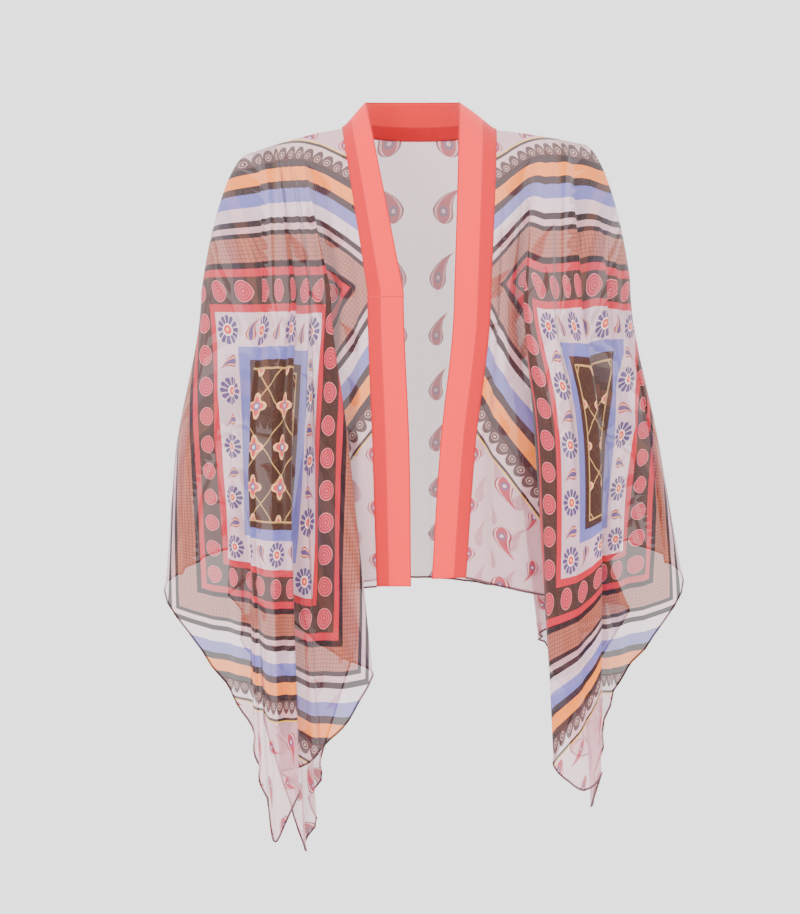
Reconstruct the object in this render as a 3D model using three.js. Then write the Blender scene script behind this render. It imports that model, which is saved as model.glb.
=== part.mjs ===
// Open-front sheer kimono cape, worn form, in millimetres.
// +X runs to the viewer's right, +Y away from the viewer, +Z up. The origin is the middle of the
// neck at shoulder height, where the wearer holds the garment up.
// The cloth is one oblong with a slit for the front. It hangs from the shoulder line in folds,
// so each half is described by its fold lines, in the order that a finger meets them when it goes
// round the garment from the front band to the middle of the back.
import * as THREE from 'three';

const clothWall = 1.6;
const bandWall = 2.4;
const seamGap = 0.3;
// The band slopes down to the level cloth at the back of the neck, so its edge stops a little higher.
const neckSeamGap = 0.9;
// At the shoulder tip the front and back close in on each other, so their walls are thinned there.
const tipThinning = 0.12;

// Rows along each fold line: from the shoulder down to the chest, the waist and the edge.
const rowsToChest = 5;
const rowsToWaist = 4;
const rowsToEdge = 7;
const neckRows = 3;

// How far the cloth rounds outwards as it falls off the shoulder, from 0, straight, to 1.
const shoulderRound = 0.62;
// The part of the shoulder, seen from the neck, where that rounding starts.
const roundStart = 0.35;

// The shoulder line of each half, from the side of the neck to the shoulder tip.
const shoulders = {
  right: { neckX: -94, neckZ: 1, tipX: -213, tipZ: -31 },
  left: { neckX: 97, neckZ: -1, tipX: 208, tipZ: -19 },
};
// Above 1, the line sags between the neck and the tip.
const shoulderSag = 1.35;

// The neck: two half ovals round the back, one for the band's free edge and one for its seam.
const neckEdge = { middleX: -7, halfWidth: 58, depth: 60, sideZ: 34, backZ: 42 };
const neckSeam = { middleX: 1.5, halfWidth: 95.5, depth: 92, sideZ: 0, backZ: -4 };

// Fold lines. topOn is what the line hangs from and share its place there: on the shoulder line from
// 0 at the neck to 1 at the tip, on the neck seam from 0 at the side to 1 at the back. bend is the
// radius of the turn that the cloth makes there. Each place is [x, y, z]: at the chest, at the waist
// and at the hem or cuff.
const foldColumns = ['name', 'topOn', 'share', 'bend', 'chest', 'waist', 'edge'];
const named = (row) => Object.fromEntries(row.map((value, i) => [foldColumns[i], value]));
const foldTable = (rows) => rows.map(named);
const rightFront = foldTable([
  ['seam', 'shoulder', 0, 10, [-62, -98, -208], [-56, -94, -397], [-51, -88, -566]],
  ['panel', 'shoulder', 0.22, 40, [-84, -92, -208], [-98, -80, -397], [-112, -70, -572]],
  ['innerFold', 'shoulder', 0.33, 10, [-108, -80, -209], [-145, -66, -397], [-172, -40, -588]],
  ['foldLayer', 'shoulder', 0.39, 20, [-114, -91, -210], [-128, -88, -398], [-124, -86, -636]],
  ['frontFold', 'shoulder', 0.46, 7, [-104, -103, -211], [-82, -106, -400], [-54, -108, -668]],
  ['fall', 'shoulder', 0.52, 30, [-120, -108, -208], [-110, -123, -409], [-85, -119, -730]],
  ['groove', 'shoulder', 0.59, 14, [-130, -96, -208], [-129, -96, -412], [-113, -99, -755]],
  ['pleatStart', 'shoulder', 0.65, 24, [-139, -101, -208], [-146, -103, -417], [-132, -98, -782]],
  ['pleatUnder', 'shoulder', 0.7, 7, [-160, -97, -209], [-181, -101, -402], [-172, -84, -791]],
  ['pleatEdge', 'shoulder', 0.75, 7, [-147, -114, -207], [-151, -125, -397], [-143, -109, -811]],
  ['tip', 'shoulder', 0.8, 14, [-167, -107, -208], [-182, -117, -397], [-174, -107, -880]],
  ['secondEdge', 'shoulder', 0.85, 7, [-191, -106, -208], [-206, -118, -397], [-184, -108, -817]],
  ['secondUnder', 'shoulder', 0.89, 7, [-185, -92, -208], [-195, -95, -397], [-192, -92, -784]],
  ['sleeveStart', 'shoulder', 0.92, 20, [-207, -80, -208], [-214, -84, -397], [-207, -80, -727]],
  ['sleeve', 'shoulder', 0.95, 60, [-246, -48, -205], [-256, -60, -392], [-264, -60, -645]],
  ['side', 'shoulder', 1, 60, [-276, 0, -202], [-308, -8, -397], [-329, -18, -570]],
]);
const rightBack = foldTable([
  ['backSide', 'shoulder', 0.95, 60, [-262, 42, -202], [-291, 42, -400], [-276, 40, -540]],
  ['cuffTop', 'shoulder', 0.91, 60, [-238, 66, -202], [-258, 76, -398], [-226, 80, -516]],
  ['backFall', 'shoulder', 0.86, 30, [-214, 80, -202], [-232, 94, -400], [-230, 98, -600]],
  ['backGroove', 'shoulder', 0.8, 30, [-190, 84, -202], [-204, 84, -400], [-198, 86, -745]],
  ['backTip', 'shoulder', 0.72, 14, [-166, 95, -202], [-170, 104, -400], [-142, 94, -922]],
  ['backTail', 'shoulder', 0.62, 20, [-142, 102, -202], [-138, 114, -400], [-128, 114, -806]],
  ['backFold', 'shoulder', 0.48, 10, [-112, 112, -204], [-94, 118, -400], [-76, 118, -640]],
  ['backInner', 'shoulder', 0.34, 10, [-120, 90, -202], [-146, 78, -397], [-165, 64, -598]],
  ['yoke', 'shoulder', 0.15, 30, [-92, 92, -202], [-108, 86, -396], [-122, 76, -580]],
  ['neckCorner', 'shoulder', 0, 1, [-80, 93, -201], [-95, 91, -395], [-106, 88, -577]],
  ['neckSide', 'neckSeam', 0.2, 20, [-64, 93, -200], [-77, 92, -394], [-86, 90, -573]],
  ['neckBack', 'neckSeam', 0.45, 40, [-44, 94, -198], [-52, 95, -392], [-58, 94, -567]],
  ['neckMiddle', 'neckSeam', 0.72, 40, [-22, 94, -197], [-27, 92, -391], [-30, 90, -564]],
]);
const leftFront = foldTable([
  ['seam', 'shoulder', 0, 10, [88, -98, -208], [69, -94, -397], [58, -88, -555]],
  ['panel', 'shoulder', 0.24, 40, [107, -93, -208], [114, -80, -400], [146, -62, -578]],
  ['innerFold', 'shoulder', 0.35, 14, [131, -80, -210], [186, -58, -400], [266, -27, -592]],
  ['foldLayer', 'shoulder', 0.41, 20, [134, -92, -212], [165, -82, -401], [206, -66, -680]],
  ['frontFold', 'shoulder', 0.48, 7, [124, -104, -214], [142, -107, -402], [162, -100, -779]],
  ['roll', 'shoulder', 0.55, 30, [148, -108, -207], [169, -124, -406], [182, -111, -802]],
  ['rollGroove', 'shoulder', 0.64, 20, [174, -103, -207], [199, -116, -402], [203, -106, -815]],
  ['rollEdge', 'shoulder', 0.73, 8, [201, -107, -204], [222, -120, -400], [223, -96, -788]],
  ['rollUnder', 'shoulder', 0.79, 8, [190, -90, -204], [180, -86, -400], [209, -80, -838]],
  ['sleeveStart', 'shoulder', 0.86, 20, [222, -74, -198], [229, -76, -394], [236, -60, -694]],
  ['sleeve', 'shoulder', 0.95, 60, [248, -44, -193], [276, -54, -390], [290, -46, -629]],
  ['side', 'shoulder', 1, 60, [269, 0, -186], [305, -8, -390], [342, -14, -559]],
]);
const leftBack = foldTable([
  ['backSide', 'shoulder', 0.95, 60, [256, 40, -190], [291, 44, -395], [293, 42, -522]],
  ['cuffTop', 'shoulder', 0.91, 60, [234, 64, -196], [262, 76, -398], [251, 82, -506]],
  ['backFall', 'shoulder', 0.86, 30, [212, 80, -200], [236, 94, -400], [244, 98, -590]],
  ['backGroove', 'shoulder', 0.8, 30, [190, 84, -200], [208, 84, -400], [226, 84, -690]],
  ['backTip', 'shoulder', 0.72, 14, [170, 95, -200], [182, 104, -400], [214, 96, -800]],
  ['backTail', 'shoulder', 0.62, 20, [148, 102, -200], [160, 114, -400], [200, 116, -735]],
  ['backFold', 'shoulder', 0.48, 10, [118, 112, -204], [132, 118, -400], [160, 122, -640]],
  ['backInner', 'shoulder', 0.34, 10, [126, 90, -202], [162, 80, -397], [214, 62, -596]],
  ['yoke', 'shoulder', 0.15, 30, [94, 92, -202], [112, 90, -396], [128, 86, -578]],
  ['neckCorner', 'shoulder', 0, 1, [82, 93, -201], [96, 91, -395], [108, 88, -575]],
  ['neckSide', 'neckSeam', 0.2, 20, [66, 93, -200], [78, 92, -394], [88, 90, -572]],
  ['neckBack', 'neckSeam', 0.45, 40, [46, 94, -198], [53, 95, -392], [59, 94, -567]],
  ['neckMiddle', 'neckSeam', 0.72, 40, [24, 94, -197], [27, 92, -391], [30, 90, -564]],
]);
const middleBack = foldTable([
  ['middle', 'neckSeam', 1, 40, [0, 93, -196], [0, 95, -390], [0, 94, -563]],
]);

// The free edge of the band on each front, beside the seam row of the same half.
const rightBandEdge = foldTable([
  ['bandEdge', 'neckEdge', 0, 10, [-18, -100, -208], [-11, -96, -397], [-9, -90, -566]],
]);
const leftBandEdge = foldTable([
  ['bandEdge', 'neckEdge', 0, 10, [43, -100, -208], [26, -96, -397], [16, -90, -557]],
]);

const vector = (place) => new THREE.Vector3(...place);
const mix = (a, b, share) => a + (b - a) * share;

// A point of the shoulder line, along from 0 at the neck to 1 at the tip.
function shoulderPoint(half, along) {
  const line = shoulders[half];
  const drop = Math.pow(along, shoulderSag);
  return new THREE.Vector3(mix(line.neckX, line.tipX, along), 0, mix(line.neckZ, line.tipZ, drop));
}

// A point of one of the neck ovals: turn goes from 0 at the side of the neck to 1 at the back.
function neckPoint(oval, half, turn) {
  const angle = turn * Math.PI / 2;
  const side = half === 'right' ? -1 : 1;
  const x = oval.middleX + side * oval.halfWidth * Math.cos(angle);
  return new THREE.Vector3(x, oval.depth * Math.sin(angle), mix(oval.sideZ, oval.backZ, Math.sin(angle)));
}

// The top of a fold line: on the shoulder line, or on the neck seam behind it. The front's tops lie
// a seam gap before the shoulder line, and the back's as far behind it.
function topPoint(half, line) {
  if (line.topOn === 'neckSeam') return neckPoint(neckSeam, half, line.share);
  const top = line.topOn === 'neckEdge' ? neckPoint(neckEdge, half, 0) : shoulderPoint(half, line.share);
  top.y = line.name === 'side' ? 0 : Math.sign(line.chest[1]) * seamGap;
  return top;
}

// A smooth curve through three places, with its first run hanging straight down.
function hangingCurve(chest, waist, edge, share) {
  const start = new THREE.Vector3(0, 0, waist.z - chest.z);
  const middle = edge.clone().sub(chest).multiplyScalar(0.5);
  const upper = share < 0.5;
  const s = upper ? share * 2 : share * 2 - 1;
  const from = upper ? chest : waist;
  const to = upper ? waist : edge;
  const leave = upper ? start : middle;
  const arrive = upper ? middle : edge.clone().sub(waist);
  const point = from.clone().multiplyScalar(2 * s ** 3 - 3 * s ** 2 + 1);
  point.addScaledVector(leave, s ** 3 - 2 * s ** 2 + s);
  point.addScaledVector(to, 3 * s ** 2 - 2 * s ** 3);
  point.addScaledVector(arrive, s ** 3 - s ** 2);
  return point;
}

// The points of one fold line. From the shoulder to the chest it follows a quarter of an oval,
// forwards or backwards first and then down. Seen from the front, that run is straight near the
// neck and rounds outwards near the shoulder tip.
function foldLine(half, line) {
  const top = topPoint(half, line);
  const [chest, waist, edge] = [vector(line.chest), vector(line.waist), vector(line.edge)];
  const along = line.topOn === 'shoulder' ? line.share : 0;
  const rounding = shoulderRound * THREE.MathUtils.smoothstep(along, roundStart, 1);
  const points = [];
  for (let row = 0; row < rowsToChest; row += 1) {
    const angle = row / rowsToChest * Math.PI / 2;
    const out = Math.sin(angle);
    const down = 1 - Math.cos(angle);
    const x = mix(top.x, chest.x, mix(down, out, rounding));
    points.push(new THREE.Vector3(x, mix(top.y, chest.y, out), mix(top.z, chest.z, down)));
  }
  for (let row = 0; row < rowsToWaist; row += 1) {
    points.push(hangingCurve(chest, waist, edge, row / rowsToWaist / 2));
  }
  for (let row = 0; row <= rowsToEdge; row += 1) {
    points.push(hangingCurve(chest, waist, edge, 0.5 + row / rowsToEdge / 2));
  }
  return points;
}

// One row of the cloth across its fold lines: straight between them, with a round turn at each.
function acrossRow(lines, bends, row) {
  const points = [lines[0][row]];
  for (let i = 1; i < lines.length - 1; i += 1) {
    const [before, here, after] = [lines[i - 1][row], lines[i][row], lines[i + 1][row]];
    const back = Math.min(0.48, bends[i] / Math.max(before.distanceTo(here), 0.01));
    const ahead = Math.min(0.48, bends[i] / Math.max(after.distanceTo(here), 0.01));
    const enter = here.clone().lerp(before, back);
    const leave = here.clone().lerp(after, ahead);
    const turn = enter.clone().add(leave).multiplyScalar(0.25).addScaledVector(here, 0.5);
    points.push(enter, turn, leave);
  }
  points.push(lines[lines.length - 1][row]);
  return points;
}

// The outward direction at each point of a grid. Where the cloth starts level on the shoulder, the
// top row's direction is that of the level cloth.
function gridNormals(grid) {
  const lastRow = grid.length - 1;
  const lastColumn = grid[0].length - 1;
  return grid.map((points, row) => points.map((_, column) => {
    const right = grid[row][Math.min(column + 1, lastColumn)];
    const left = grid[row][Math.max(column - 1, 0)];
    const below = grid[Math.min(row + 1, lastRow)][column];
    const above = grid[Math.max(row - 1, 0)][column];
    const down = below.clone().sub(above);
    if (row === 0 && Math.abs(down.y) > Math.abs(down.z)) down.z = 0;
    return right.clone().sub(left).cross(down).normalize();
  }));
}

// A wall of even thickness round a grid of points, closed along all its edges.
function wallGeometry(grid, normals, thickness) {
  const rows = grid.length;
  const columns = grid[0].length;
  const outer = [];
  const inner = [];
  grid.forEach((points, row) => points.forEach((point, column) => {
    const offset = normals[row][column].clone().multiplyScalar(thickness / 2);
    outer.push(...point.clone().add(offset).toArray());
    inner.push(...point.clone().sub(offset).toArray());
  }));
  const at = (row, column) => row * columns + column;
  const other = rows * columns;
  const faces = [];
  const quad = (a, b, c, d) => faces.push(a, b, c, a, c, d);
  for (let row = 0; row < rows - 1; row += 1) {
    for (let column = 0; column < columns - 1; column += 1) {
      const [a, b] = [at(row, column), at(row, column + 1)];
      const [c, d] = [at(row + 1, column + 1), at(row + 1, column)];
      quad(a, b, c, d);
      quad(other + a, other + d, other + c, other + b);
    }
  }
  for (let column = 0; column < columns - 1; column += 1) {
    const [a, b] = [at(0, column), at(0, column + 1)];
    quad(b, a, other + a, other + b);
    const [c, d] = [at(rows - 1, column), at(rows - 1, column + 1)];
    quad(c, d, other + d, other + c);
  }
  for (let row = 0; row < rows - 1; row += 1) {
    const [a, b] = [at(row, 0), at(row + 1, 0)];
    quad(a, b, other + b, other + a);
    const [c, d] = [at(row, columns - 1), at(row + 1, columns - 1)];
    quad(d, c, other + c, other + d);
  }
  const geometry = new THREE.BufferGeometry();
  geometry.setAttribute('position', new THREE.Float32BufferAttribute([...outer, ...inner], 3));
  geometry.setIndex(faces);
  geometry.computeVertexNormals();
  return geometry;
}

function stepTowards(point, target, distance) {
  return point.clone().add(target.clone().sub(point).setLength(distance));
}

// A copy of a grid row whose two ends are drawn in.
function trimmedRow(points, distance) {
  const last = points.length - 1;
  const trimmed = [...points];
  trimmed[0] = stepTowards(points[0], points[1], distance);
  trimmed[last] = stepTowards(points[last], points[last - 1], distance);
  return trimmed;
}

// The band round the back of the neck, from its free edge down to the top row of the cloth.
function neckBandGrid(seamRow) {
  const free = seamRow.map((point) => {
    const [x, y] = [(point.x - neckSeam.middleX) / neckSeam.halfWidth, point.y / neckSeam.depth];
    return neckPoint(neckEdge, x < 0 ? 'right' : 'left', Math.atan2(y, Math.abs(x)) / (Math.PI / 2));
  });
  const low = seamRow.map((point, i) => stepTowards(point, free[i], neckSeamGap));
  const grid = [];
  for (let row = 0; row <= neckRows; row += 1) {
    grid.push(free.map((point, i) => point.clone().lerp(low[i], row / neckRows)));
  }
  return grid;
}

const printedCloth = new THREE.MeshStandardMaterial({ color: 0xb98f88, roughness: 0.85, metalness: 0 });
const coralBand = new THREE.MeshStandardMaterial({ color: 0xf07070, roughness: 0.6, metalness: 0 });

const cape = new THREE.Group();

function addPiece(name, grid, normals, thickness, material) {
  const mesh = new THREE.Mesh(wallGeometry(grid, normals, thickness), material);
  mesh.name = name;
  cape.add(mesh);
}

// All fold lines in one round, from the right front edge over the back to the left front edge.
const onHalf = (half, lines) => lines.map((line) => ({ half, line }));
const round = [
  ...onHalf('right', [...rightBandEdge, ...rightFront, ...rightBack, ...middleBack]),
  ...onHalf('left', [...leftBandEdge, ...leftFront, ...leftBack].reverse()),
];
const lines = round.map(({ half, line }) => foldLine(half, line));
const bends = round.map(({ line }) => line.bend);
const cloth = lines[0].map((_, row) => acrossRow(lines, bends, row));
const clothNormals = gridNormals(cloth);

// The round is parted in the middle of the turn at a fold line. Each turn takes three columns.
function turnColumn(half, name) {
  const place = round.findIndex((entry) => entry.half === half && entry.line.name === name);
  return 3 * place - 1;
}

for (const half of ['right', 'left']) {
  const [one, other] = [turnColumn(half, 'sleeve'), turnColumn(half, 'backSide')];
  const thinned = clothNormals[0].slice(Math.min(one, other), Math.max(one, other) + 1);
  thinned.forEach((normal) => normal.multiplyScalar(tipThinning));
}

function addStretch(name, first, last, thickness, material) {
  const grid = cloth.map((points) => trimmedRow(points.slice(first, last + 1), seamGap / 2));
  const normals = clothNormals.map((points) => points.slice(first, last + 1));
  addPiece(name, grid, normals, thickness, material);
}

const rightSeam = turnColumn('right', 'seam');
const rightSide = turnColumn('right', 'side');
const leftSide = turnColumn('left', 'side');
const leftSeam = turnColumn('left', 'seam');
addStretch('band_right', 0, rightSeam, bandWall, coralBand);
addStretch('front_right', rightSeam, rightSide, clothWall, printedCloth);
addStretch('back', rightSide, leftSide, clothWall, printedCloth);
addStretch('front_left', leftSide, leftSeam, clothWall, printedCloth);
addStretch('band_left', leftSeam, cloth[0].length - 1, bandWall, coralBand);
const [neckStart, neckEnd] = [turnColumn('right', 'neckCorner'), turnColumn('left', 'neckCorner')];
const neckBand = neckBandGrid(cloth[0].slice(neckStart, neckEnd + 1));
addPiece('band_neck', neckBand, gridNormals(neckBand), bandWall, coralBand);

export default cape;
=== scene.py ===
# %% [markdown]
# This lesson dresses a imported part, an open-front cape of sheer printed cloth, so that it looks as
# it does in a photograph. The solids come from CAD and give the sizes. The first cell loads them
# as a fixed frame, in metres, and prints the space that they take, because nothing that is added
# may reach far outside it.

import math

import bpy
import numpy as np
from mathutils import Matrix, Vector


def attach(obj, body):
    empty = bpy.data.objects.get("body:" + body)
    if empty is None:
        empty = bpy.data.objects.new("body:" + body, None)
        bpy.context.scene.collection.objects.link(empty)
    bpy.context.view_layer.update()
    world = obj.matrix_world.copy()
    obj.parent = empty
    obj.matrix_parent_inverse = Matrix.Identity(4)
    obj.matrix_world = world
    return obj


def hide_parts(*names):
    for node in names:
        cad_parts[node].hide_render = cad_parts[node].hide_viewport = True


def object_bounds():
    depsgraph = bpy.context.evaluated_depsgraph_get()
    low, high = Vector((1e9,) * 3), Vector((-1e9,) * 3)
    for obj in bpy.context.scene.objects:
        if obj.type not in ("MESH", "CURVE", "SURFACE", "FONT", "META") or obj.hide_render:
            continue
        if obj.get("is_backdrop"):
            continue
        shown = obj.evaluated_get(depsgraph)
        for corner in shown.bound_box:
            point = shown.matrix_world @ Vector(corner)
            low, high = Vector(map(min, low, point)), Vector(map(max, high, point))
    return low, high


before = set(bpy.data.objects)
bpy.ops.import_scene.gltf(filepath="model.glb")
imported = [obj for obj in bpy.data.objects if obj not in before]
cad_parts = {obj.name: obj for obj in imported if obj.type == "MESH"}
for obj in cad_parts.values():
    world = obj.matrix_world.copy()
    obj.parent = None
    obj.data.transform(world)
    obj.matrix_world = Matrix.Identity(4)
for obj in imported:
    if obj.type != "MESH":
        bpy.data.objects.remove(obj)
cad_low, cad_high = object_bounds()
print("CAD box, low and high corner:", tuple(cad_low), tuple(cad_high))
MM = 0.001

# %% [markdown]
# The real cape is one oblong of chiffon with a slit for the front, laid over the shoulders. All
# that is seen comes from how it hangs. So the cloth is described by its fold lines, as a maker
# would chalk them: each one starts on the shoulder and runs down to the hem or cuff. Its name in
# the table is the same as in the solids. A row gives the line's name, what it hangs from, how far
# along that it starts, and how round it bends. Then come its stations at the chest, the waist and
# the edge. Besides its place in space, a station has its place on the flat cloth: outwards from
# the middle, and down the front (plus) or the back (minus). That second pair carries the print,
# so that it lands on the folds as ink would.

# %% Fold lines of the front on the viewer's left
# name, hangs from, share, bend; at the chest, the waist and the edge: x, y, z, out, down, in mm
RIGHT_FRONT = [
    ("seam", "shoulder", 0, 10,
     (-62, -98, -208, 75, 251), (-56, -94, -397, 75, 446), (-51, -88, -566, 75, 630)),
    ("panel", "shoulder", 0.22, 40,
     (-84, -92, -208, 108, 246), (-98, -80, -397, 125, 440), (-112, -70, -572, 146, 630)),
    ("innerFold", "shoulder", 0.33, 10,
     (-108, -80, -209, 144, 240), (-145, -66, -397, 179, 432), (-172, -40, -588, 215, 630)),
    ("foldLayer", "shoulder", 0.39, 20,
     (-114, -91, -210, 146, 241), (-128, -88, -398, 205, 417), (-124, -86, -636, 300, 630)),
    ("frontFold", "shoulder", 0.46, 7,
     (-104, -103, -211, 148, 243), (-82, -106, -400, 236, 399), (-54, -108, -668, 396, 630)),
    ("fall", "shoulder", 0.52, 30,
     (-120, -108, -208, 171, 213), (-110, -123, -409, 279, 374), (-85, -119, -730, 470, 630)),
    ("groove", "shoulder", 0.59, 14,
     (-130, -96, -208, 185, 200), (-129, -96, -412, 306, 346), (-113, -99, -755, 508, 630)),
    ("pleatStart", "shoulder", 0.65, 24,
     (-139, -101, -208, 198, 186), (-146, -103, -417, 333, 319), (-132, -98, -782, 546, 630)),
    ("pleatUnder", "shoulder", 0.7, 7,
     (-160, -97, -209, 239, 145), (-181, -101, -402, 369, 284), (-172, -84, -791, 616, 630)),
    ("pleatEdge", "shoulder", 0.75, 7,
     (-147, -114, -207, 274, 110), (-151, -125, -397, 395, 258), (-143, -109, -811, 686, 630)),
    ("tip", "shoulder", 0.8, 14,
     (-167, -107, -208, 305, 79), (-182, -117, -397, 435, 218), (-174, -107, -880, 790, 630)),
    ("secondEdge", "shoulder", 0.85, 7,
     (-191, -106, -208, 338, 46), (-206, -118, -397, 457, 196), (-184, -108, -817, 790, 560)),
    ("secondUnder", "shoulder", 0.89, 7,
     (-185, -92, -208, 345, 40), (-195, -95, -397, 475, 178), (-192, -92, -784, 790, 500)),
    ("sleeveStart", "shoulder", 0.92, 20,
     (-207, -80, -208, 354, 31), (-214, -84, -397, 501, 152), (-207, -80, -727, 790, 426)),
    ("sleeve", "shoulder", 0.95, 60,
     (-246, -48, -205, 386, -2), (-256, -60, -392, 547, 106), (-264, -60, -645, 790, 300)),
    ("side", "shoulder", 1, 60,
     (-276, 0, -202, 417, -33), (-308, -8, -397, 597, 56), (-329, -18, -570, 790, 204)),
]

# %% Fold lines of the back on the viewer's left
RIGHT_BACK = [
    ("backSide", "shoulder", 0.95, 60,
     (-262, 42, -202, 408, -82), (-291, 42, -400, 612, -15), (-276, 40, -540, 790, 100)),
    ("cuffTop", "shoulder", 0.91, 60,
     (-238, 66, -202, 385, -130), (-258, 76, -398, 600, -100), (-226, 80, -516, 790, 0)),
    ("backFall", "shoulder", 0.86, 30,
     (-214, 80, -202, 350, -150), (-232, 94, -400, 560, -180), (-230, 98, -600, 790, -200)),
    ("backGroove", "shoulder", 0.8, 30,
     (-190, 84, -202, 310, -170), (-204, 84, -400, 480, -240), (-198, 86, -745, 790, -420)),
    ("backTip", "shoulder", 0.72, 14,
     (-166, 95, -202, 270, -180), (-170, 104, -400, 430, -290), (-142, 94, -922, 790, -630)),
    ("backTail", "shoulder", 0.62, 20,
     (-142, 102, -202, 230, -190), (-138, 114, -400, 370, -330), (-128, 114, -806, 640, -630)),
    ("backFold", "shoulder", 0.48, 10,
     (-112, 112, -204, 180, -200), (-94, 118, -400, 300, -370), (-76, 118, -640, 500, -630)),
    ("backInner", "shoulder", 0.34, 10,
     (-120, 90, -202, 150, -215), (-146, 78, -397, 230, -400), (-165, 64, -598, 330, -630)),
    ("yoke", "shoulder", 0.15, 30,
     (-92, 92, -202, 120, -220), (-108, 86, -396, 170, -410), (-122, 76, -580, 240, -630)),
    ("neckCorner", "shoulder", 0, 1,
     (-80, 93, -201, 110, -220), (-95, 91, -395, 150, -415), (-106, 88, -577, 200, -630)),
    ("neckSide", "neckSeam", 0.2, 20,
     (-64, 93, -200, 88, -222), (-77, 92, -394, 115, -418), (-86, 90, -573, 140, -630)),
    ("neckBack", "neckSeam", 0.45, 40,
     (-44, 94, -198, 58, -224), (-52, 95, -392, 72, -420), (-58, 94, -567, 86, -630)),
    ("neckMiddle", "neckSeam", 0.72, 40,
     (-22, 94, -197, 28, -226), (-27, 92, -391, 34, -421), (-30, 90, -564, 40, -630)),
]

# %% Fold lines of the front on the viewer's right
LEFT_FRONT = [
    ("seam", "shoulder", 0, 10,
     (88, -98, -208, 75, 251), (69, -94, -397, 75, 446), (58, -88, -555, 75, 630)),
    ("panel", "shoulder", 0.24, 40,
     (107, -93, -208, 110, 250), (114, -80, -400, 130, 440), (146, -62, -578, 170, 630)),
    ("innerFold", "shoulder", 0.35, 14,
     (131, -80, -210, 148, 266), (186, -58, -400, 190, 425), (266, -27, -592, 355, 630)),
    ("foldLayer", "shoulder", 0.41, 20,
     (134, -92, -212, 149, 264), (165, -82, -401, 222, 418), (206, -66, -680, 440, 630)),
    ("frontFold", "shoulder", 0.48, 7,
     (124, -104, -214, 150, 262), (142, -107, -402, 272, 408), (162, -100, -779, 540, 630)),
    ("roll", "shoulder", 0.55, 30,
     (148, -108, -207, 171, 213), (169, -124, -406, 303, 368), (182, -111, -802, 610, 630)),
    ("rollGroove", "shoulder", 0.64, 20,
     (174, -103, -207, 214, 174), (199, -116, -402, 338, 324), (203, -106, -815, 680, 630)),
    ("rollEdge", "shoulder", 0.73, 8,
     (201, -107, -204, 268, 119), (222, -120, -400, 373, 289), (223, -96, -788, 740, 630)),
    ("rollUnder", "shoulder", 0.79, 8,
     (190, -90, -204, 285, 95), (180, -86, -400, 426, 227), (209, -80, -838, 790, 630)),
    ("sleeveStart", "shoulder", 0.86, 20,
     (222, -74, -198, 311, 76), (229, -76, -394, 497, 165), (236, -60, -694, 790, 383)),
    ("sleeve", "shoulder", 0.95, 60,
     (248, -44, -193, 333, 28), (276, -54, -390, 560, 119), (290, -46, -629, 790, 290)),
    ("side", "shoulder", 1, 60,
     (269, 0, -186, 356, 6), (305, -8, -390, 603, 68), (342, -14, -559, 790, 204)),
]

# %% Fold lines of the back on the viewer's right
LEFT_BACK = [
    ("backSide", "shoulder", 0.95, 60,
     (256, 40, -190, 370, -50), (291, 44, -395, 612, -15), (293, 42, -522, 790, 100)),
    ("cuffTop", "shoulder", 0.91, 60,
     (234, 64, -196, 360, -100), (262, 76, -398, 600, -100), (251, 82, -506, 790, 0)),
    ("backFall", "shoulder", 0.86, 30,
     (212, 80, -200, 340, -140), (236, 94, -400, 560, -180), (244, 98, -590, 790, -200)),
    ("backGroove", "shoulder", 0.8, 30,
     (190, 84, -200, 310, -170), (208, 84, -400, 480, -240), (226, 84, -690, 790, -420)),
    ("backTip", "shoulder", 0.72, 14,
     (170, 95, -200, 270, -180), (182, 104, -400, 430, -290), (214, 96, -800, 790, -630)),
    ("backTail", "shoulder", 0.62, 20,
     (148, 102, -200, 230, -190), (160, 114, -400, 370, -330), (200, 116, -735, 640, -630)),
    ("backFold", "shoulder", 0.48, 10,
     (118, 112, -204, 180, -200), (132, 118, -400, 300, -370), (160, 122, -640, 500, -630)),
    ("backInner", "shoulder", 0.34, 10,
     (126, 90, -202, 150, -215), (162, 80, -397, 230, -400), (214, 62, -596, 330, -630)),
    ("yoke", "shoulder", 0.15, 30,
     (94, 92, -202, 120, -220), (112, 90, -396, 170, -410), (128, 86, -578, 240, -630)),
    ("neckCorner", "shoulder", 0, 1,
     (82, 93, -201, 110, -220), (96, 91, -395, 150, -415), (108, 88, -575, 200, -630)),
    ("neckSide", "neckSeam", 0.2, 20,
     (66, 93, -200, 88, -222), (78, 92, -394, 115, -418), (88, 90, -572, 140, -630)),
    ("neckBack", "neckSeam", 0.45, 40,
     (46, 94, -198, 58, -224), (53, 95, -392, 72, -420), (59, 94, -567, 86, -630)),
    ("neckMiddle", "neckSeam", 0.72, 40,
     (24, 94, -197, 28, -226), (27, 92, -391, 34, -421), (30, 90, -564, 40, -630)),
]
MIDDLE_BACK = [
    ("middle", "neckSeam", 1, 40,
     (0, 93, -196, 0, -226), (0, 95, -390, 0, -421), (0, 94, -563, 0, -630)),
]
RIGHT_BAND = [
    ("bandEdge", "neckEdge", 0, 10,
     (-18, -100, -208, 27, 251), (-11, -96, -397, 27, 446), (-9, -90, -566, 27, 630)),
]
LEFT_BAND = [
    ("bandEdge", "neckEdge", 0, 10,
     (43, -100, -208, 27, 251), (26, -96, -397, 27, 446), (16, -90, -557, 27, 630)),
]

# %% [markdown]
# Every fold line needs a top. Most start on the shoulder line, which sags a little towards its
# tip. Behind the neck they start on a half oval, the seam of the band, and the band's free edge is
# a second, smaller oval that stands higher on the neck.

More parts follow.
